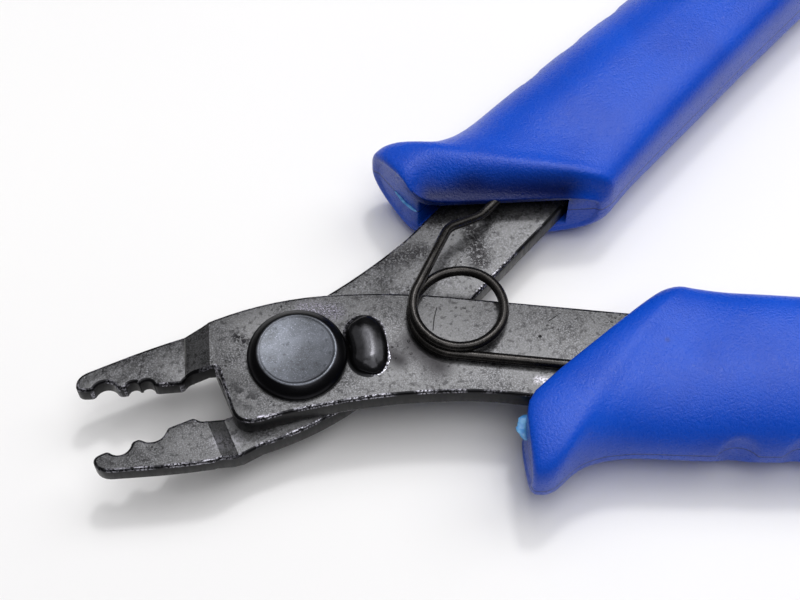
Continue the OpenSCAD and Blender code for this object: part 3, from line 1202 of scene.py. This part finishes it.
@dataclass
class Flash:
    """Fin of vinyl squeezed out at the parting line of a grip's front face.

    Args:
        grip: The grip it hangs on.
        start: Where it starts, mm out from the arm.
        end: Where it ends.
        reach: How far it stands out, mm.
        drop: Height of its middle over the parting plane, mm.
        half_thick: Half its thickness, mm.
        root_depth: How far its root lies inside the grip, mm.
        steps: Lengths that it is drawn in.
        sides: Points round it.
    """

    grip: Grip
    start: float
    end: float
    reach: float
    drop: float = 0.0
    half_thick: float = 0.09
    root_depth: float = 0.15
    steps: int = 24
    sides: int = 12

    def build(self) -> Piece:
        """Draws the fin along the front face, ragged and thinner at its ends."""
        rings = []
        for i in range(self.steps + 1):
            share = i / self.steps
            out = self.start + (self.end - self.start) * share
            swell = max(0.04, math.sin(math.pi * share)) ** 0.35
            ragged = 1 + 0.09 * math.sin(13 * share) + 0.05 * math.sin(37 * share + 1)
            stand = self.reach * swell * ragged
            root = self.grip.face_at(out) + self.root_depth
            sway = 0.12 * stand * math.sin(9 * share)
            ring = []
            for angle in round_turn(self.sides):
                along = root - (stand + self.root_depth) * (0.5 + 0.5 * math.cos(angle))
                up = self.drop + self.half_thick * swell * math.sin(angle) + sway
                ring.append(self.grip.axes.on_arm(self.grip.side, along, out, up))
            rings.append(ring)
        piece = drawn_through(f"{self.grip.side.body.value}_grip_flash", rings)
        smooth(piece, 50)
        return piece

    def dress(self, piece: Piece, finish: Material) -> None:
        """Gives the fin its pale thin vinyl."""
        piece.data.materials.append(finish)
        finish_piece(piece, self.grip.side.body, "grip_vinyl")


# Scars of use and of tumbling, where the tool carries them, and patches of painted highlight and painted shade.
FRONT_MARKS = (
    Mark((10.8, -2.6, 2.4), (12.2, -5.9, 2.4), 2.4, "#262527"),  # darker patch on the plate beside the coil
    Mark((8.0, -2.4, 2.4), (9.0, -4.0, 2.4), 1.7, "#29282a"),
    Mark((-6.7, -1.5, 2.4), (-5.7, -2.7, 2.4), 1.7, "#29292b", broken=1.2),
    Mark((14.5, 0.1, 2.4), (13.8, -0.9, 2.4), 0.07, "#0e0e0f", sunk=3.0),  # hairline beside the coil
    Mark((13.8, -0.9, 2.4), (13.2, -2.1, 2.4), 0.07, "#0e0e0f", sunk=3.0),
    Mark((22.6, -6.5, 2.4), (22.6, -6.5, 2.4), 0.22, "#080808", sunk=4.0),  # open pit on the arm
    Mark((24.0, -5.3, 2.4), (25.5, -4.9, 2.4), 0.06, "#0e0e0f", sunk=2.0),  # scratch by the far edge
    Mark((20.5, -10.8, 2.4), (22.8, -12.1, 2.4), 0.7, "#a9a7b0", broken=0.22),  # scuff at the grip's mouth
    Mark((2.5, 4.5, 2.4), (5.0, 3.3, 2.4), 1.5, "#85828f", broken=0.17, sunk=1.2),  # orange-peel patch
    Mark((-4.8, 4.3, 2.4), (-4.3, 3.4, 2.4), 0.9, "#18171a", broken=0.35, sunk=2.0),  # pits near the ramp
    Mark((-7.3, -4.4, 2.4), (-1.7, -5.6, 2.4), 0.22, "#c4c0d2", broken=0.5),  # painted highlight along the hub's near edge
    Mark((-1.7, -5.6, 2.4), (8.9, -8.2, 2.4), 0.16, "#b0adbc", broken=0.5),
    Mark((-9.4, 6.6, 1.1), (-10.6, 2.2, 1.1), 0.10, "#9a9a98"),  # painted highlight along the foot of the ramp
)
FRONT_GRIP_MARKS = (
    Mark((32.9, -12.5, 5.3), (32.9, -12.5, 5.3), 0.5, "#3a2a22"),  # brown speck moulded in
)
REAR_GRIP_MARKS = (
    Mark((31.5, 7.9, 2.8), (22.7, 10.9, 2.8), 3.4, "#05154f"),  # painted shade: the scoop over the tang is painted dark blue
    Mark((22.7, 10.9, 2.8), (18.9, 12.3, 2.6), 3.0, "#05154f"),
)
REAR_MARKS = (
    Mark((-9.5, -5.0, 1.0), (-8.2, -4.9, 0.6), 1.5, "#84838a", broken=0.30),  # painted highlight on the slope behind the jaw
    Mark((-9.9, -3.1, 1.1), (-9.6, -6.7, 1.1), 0.13, "#c8c5cf", broken=0.4),  # painted highlight along the foot of the ramp
    Mark((-9.6, -6.9, 1.3), (-6.4, -7.1, 2.4), 0.13, "#c8c5cf", broken=0.4),
    Mark((11.7, 8.4, 0.0), (16.0, 8.2, 0.0), 1.8, "#333234", broken=0.20, sunk=2.0),  # pits on the arm
    Mark((21.9, 9.2, 0.0), (21.2, 4.9, 0.0), 1.8, "#242325", broken=0.25, sunk=2.0),
)


# ---- set ----


@dataclass(frozen=True)
class Studio:
    """Camera, lights and table.

    Args:
        axes: The tool's axes.
        aim: Point the camera looks at, tool mm.
        eye: Where the camera stands, tool mm.
        lens: Its focal length for a 36 mm wide sensor.
        sky: Strength of the even light all round.
    """

    axes: ToolAxes
    aim: Point = (11.97, 3.51, 0.0)
    eye: Point = (-15.51, -66.28, 129.9)
    lens: float = 67.5
    sky: float = 0.11

    def camera(self) -> None:
        """Sets the camera."""
        data = bpy.data.cameras.new("camera")
        data.sensor_width = 36
        data.lens = self.lens
        data.clip_start, data.clip_end = 0.005, 10
        camera = bpy.data.objects.new("camera", data)
        camera.location = self.axes.place(self.eye)
        look = self.axes.place(self.aim) - camera.location
        camera.rotation_euler = look.to_track_quat("-Z", "Y").to_euler()
        bpy.context.scene.collection.objects.link(camera)
        bpy.context.scene.camera = camera

    def light(self, name: str, towards: Point, distance: float, size: float, power: float) -> None:
        """Adds a square soft white light that faces the tool.

        Args:
            name: Its name.
            towards: Direction from the tool to the light.
            distance: Its distance, m.
            size: Its side, m.
            power: Its power, W.
        """
        data = bpy.data.lights.new(name, "AREA")
        data.shape = "SQUARE"
        data.size = size
        data.energy = power
        lamp = bpy.data.objects.new(name, data)
        aim = self.axes.place(self.aim)
        lamp.location = aim + Vector(towards).normalized() * distance
        lamp.rotation_euler = (aim - lamp.location).to_track_quat("-Z", "Y").to_euler()
        bpy.context.scene.collection.objects.link(lamp)

    def world(self) -> None:
        """Fills the room with even pale light."""
        world = bpy.data.worlds.new("studio")
        world.use_nodes = True
        sky = next(n for n in world.node_tree.nodes if n.type == "BACKGROUND")
        sky.inputs["Color"].default_value = linear("#f0f0f1")
        sky.inputs["Strength"].default_value = self.sky
        bpy.context.scene.world = world

    def table(self) -> Piece:
        """Lays the card the tool rests on."""
        deselect_all()
        bpy.ops.mesh.primitive_grid_add(x_subdivisions=4, y_subdivisions=4, size=3.0,
                                        location=(0, 0, -0.02 * MM))
        card = bpy.context.object
        card.name = "table_card"
        card.data.materials.append(PaperTable().make())
        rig.stage(card)
        return card

    def build(self) -> None:
        """Sets everything round the tool."""
        self.camera()
        self.light("key_softbox", (0.26, 0.31, 0.91), 0.62, 0.36, 1.2)
        self.light("key_core", (0.27, 0.33, 0.90), 0.62, 0.07, 0.75)
        self.light("overhead_softbox", (0.05, -0.25, 1.0), 0.7, 0.5, 2.2)
        self.light("back_left_fill", (-0.5, 0.85, 1.4), 0.9, 0.6, 0.9)
        self.light("right_fill", (1.0, 0.1, 1.1), 0.9, 0.5, 1.9)
        self.world()
        self.table()


def write_sizes(before: tuple[Vector, Vector], after: tuple[Vector, Vector]) -> None:
    """Writes the CAD box and the visual model's box as plain lists."""
    boxes = {"cad": [list(c) for c in before], "visual": [list(c) for c in after]}
    with open(SIZE_FILE, "w", encoding="ascii") as out:
        json.dump(boxes, out)


def main() -> None:
    """Builds the plier's pieces in order and sets the studio round them."""
    logging.basicConfig(level=logging.INFO, format="%(name)s: %(message)s")
    axes = ToolAxes(Vector(frame["joints"][0]["pos_m"]))
    bpy.context.scene.view_settings.view_transform = "Standard"
    Studio(axes).build()

    edges, sheared = PaintedShadeEdgeWithRubs().make(), PaintedShadeShearedSide().make()
    levers = ((Side.FRONT, "front_jaw_lever", FRONT_MARKS),
              (Side.REAR, "rear_jaw_lever", REAR_MARKS))
    for side, node, marks in levers:
        lever = SteelLever(axes, side, node)
        flats = BlackedSteel(f"tumbled_blacked_steel_{side.name.lower()}", axes, marks).make()
        lever.dress(lever.build(), (flats, edges, sheared))
    rib = StopRib(axes)
    rib.dress(rib.build(), BurnishedBlack().make())
    rivet = Rivet(axes)
    rivet.dress(rivet.build(), PressedRivet().make())
    spring = ReturnSpring(axes)
    spring.dress(spring.build(), OiledWire().make())
    thin = ThinFlash().make()
    grips = ((Grip(axes, Side.FRONT, 1.0), (2.7, 5.4, 0.85), FRONT_GRIP_MARKS),
             (Grip(axes, Side.REAR, 0.0, socket_roof=1.75, scoop=0.42), (3.2, 6.6, 0.25), REAR_GRIP_MARKS))
    for grip, fin, marks in grips:
        vinyl = MouldedVinyl(f"moulded_royal_blue_pvc_{grip.side.name.lower()}", axes, marks).make()
        grip.dress(grip.build(), vinyl)
        flash = Flash(grip, *fin)
        flash.dress(flash.build(), thin)
    write_sizes(cad_box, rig.bounds())


if __name__ == "__main__":
    main()
